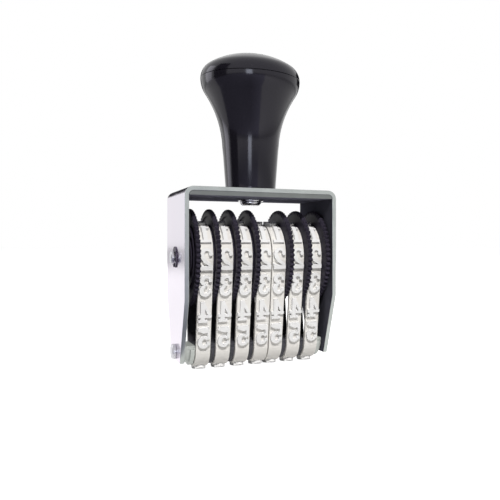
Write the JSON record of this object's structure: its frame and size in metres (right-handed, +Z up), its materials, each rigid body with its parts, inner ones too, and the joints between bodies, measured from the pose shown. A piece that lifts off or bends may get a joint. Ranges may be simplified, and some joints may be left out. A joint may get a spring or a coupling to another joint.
{
  "type": "band numbering stamp",
  "caption": "Hand-held band numbering stamp: rubber figure bands run over thumb wheels and a printing shoe in a bent steel frame under a moulded knob handle.",
  "frame": {"origin": "middle of the printed line in the plane of the paper, under the handle's axis", "axes": "+Z up along the handle, +X along the wheel axle, -Y to the front of the stamp"},
  "size_m": [0.0494, 0.0308, 0.0971],
  "materials": {
    "zinc_plated_sheet": "bright zinc-plated sheet steel, near mirror",
    "turned_steel": "bright turned steel",
    "shoe_metal": "plain drawn metal",
    "handle_plastic": "glossy black moulded plastic",
    "wheel_plastic": "satin black moulded plastic",
    "band_rubber": "matt off-white rubber",
    "insert_brass": "plain brass"
  },
  "bodies": {
    "frame": {"frame": "zinc_plated_sheet", "stiffener_plate": "zinc_plated_sheet", "handle_grip": "handle_plastic", "handle_cap": "handle_plastic", "handle_insert": "insert_brass", "handle_screw": "turned_steel", "screw_washer": "turned_steel", "axle": "turned_steel", "left_clip": "turned_steel", "right_clip": "turned_steel", "left_spacer": "turned_steel", "right_washer": "turned_steel", "printing_shoe": "shoe_metal", "left_rivet": "turned_steel", "right_rivet": "turned_steel", "band_1": "band_rubber", "band_2": "band_rubber", "band_3": "band_rubber", "band_4": "band_rubber", "band_5": "band_rubber", "band_6": "band_rubber", "band_7": "band_rubber"},
    "wheel_1": {"thumb_disc_1": "wheel_plastic", "drum_1": "wheel_plastic"},
    "wheel_2": {"thumb_disc_2": "wheel_plastic", "drum_2": "wheel_plastic"},
    "wheel_3": {"thumb_disc_3": "wheel_plastic", "drum_3": "wheel_plastic"},
    "wheel_4": {"thumb_disc_4": "wheel_plastic", "drum_4": "wheel_plastic"},
    "wheel_5": {"thumb_disc_5": "wheel_plastic", "drum_5": "wheel_plastic"},
    "wheel_6": {"thumb_disc_6": "wheel_plastic", "drum_6": "wheel_plastic"},
    "wheel_7": {"thumb_disc_7": "wheel_plastic", "drum_7": "wheel_plastic"}
  },
  "joints": [
    {"name": "wheel_1_turn", "type": "hinge", "parent": "frame", "child": "wheel_1", "pos_m": [0, 0, 0.0338], "axis": [1, 0, 0], "continuous": true},
    {"name": "wheel_2_turn", "type": "hinge", "parent": "frame", "child": "wheel_2", "pos_m": [0, 0, 0.0338], "axis": [1, 0, 0], "continuous": true},
    {"name": "wheel_3_turn", "type": "hinge", "parent": "frame", "child": "wheel_3", "pos_m": [0, 0, 0.0338], "axis": [1, 0, 0], "continuous": true},
    {"name": "wheel_4_turn", "type": "hinge", "parent": "frame", "child": "wheel_4", "pos_m": [0, 0, 0.0338], "axis": [1, 0, 0], "continuous": true},
    {"name": "wheel_5_turn", "type": "hinge", "parent": "frame", "child": "wheel_5", "pos_m": [0, 0, 0.0338], "axis": [1, 0, 0], "continuous": true},
    {"name": "wheel_6_turn", "type": "hinge", "parent": "frame", "child": "wheel_6", "pos_m": [0, 0, 0.0338], "axis": [1, 0, 0], "continuous": true},
    {"name": "wheel_7_turn", "type": "hinge", "parent": "frame", "child": "wheel_7", "pos_m": [0, 0, 0.0338], "axis": [1, 0, 0], "continuous": true}
  ]
}
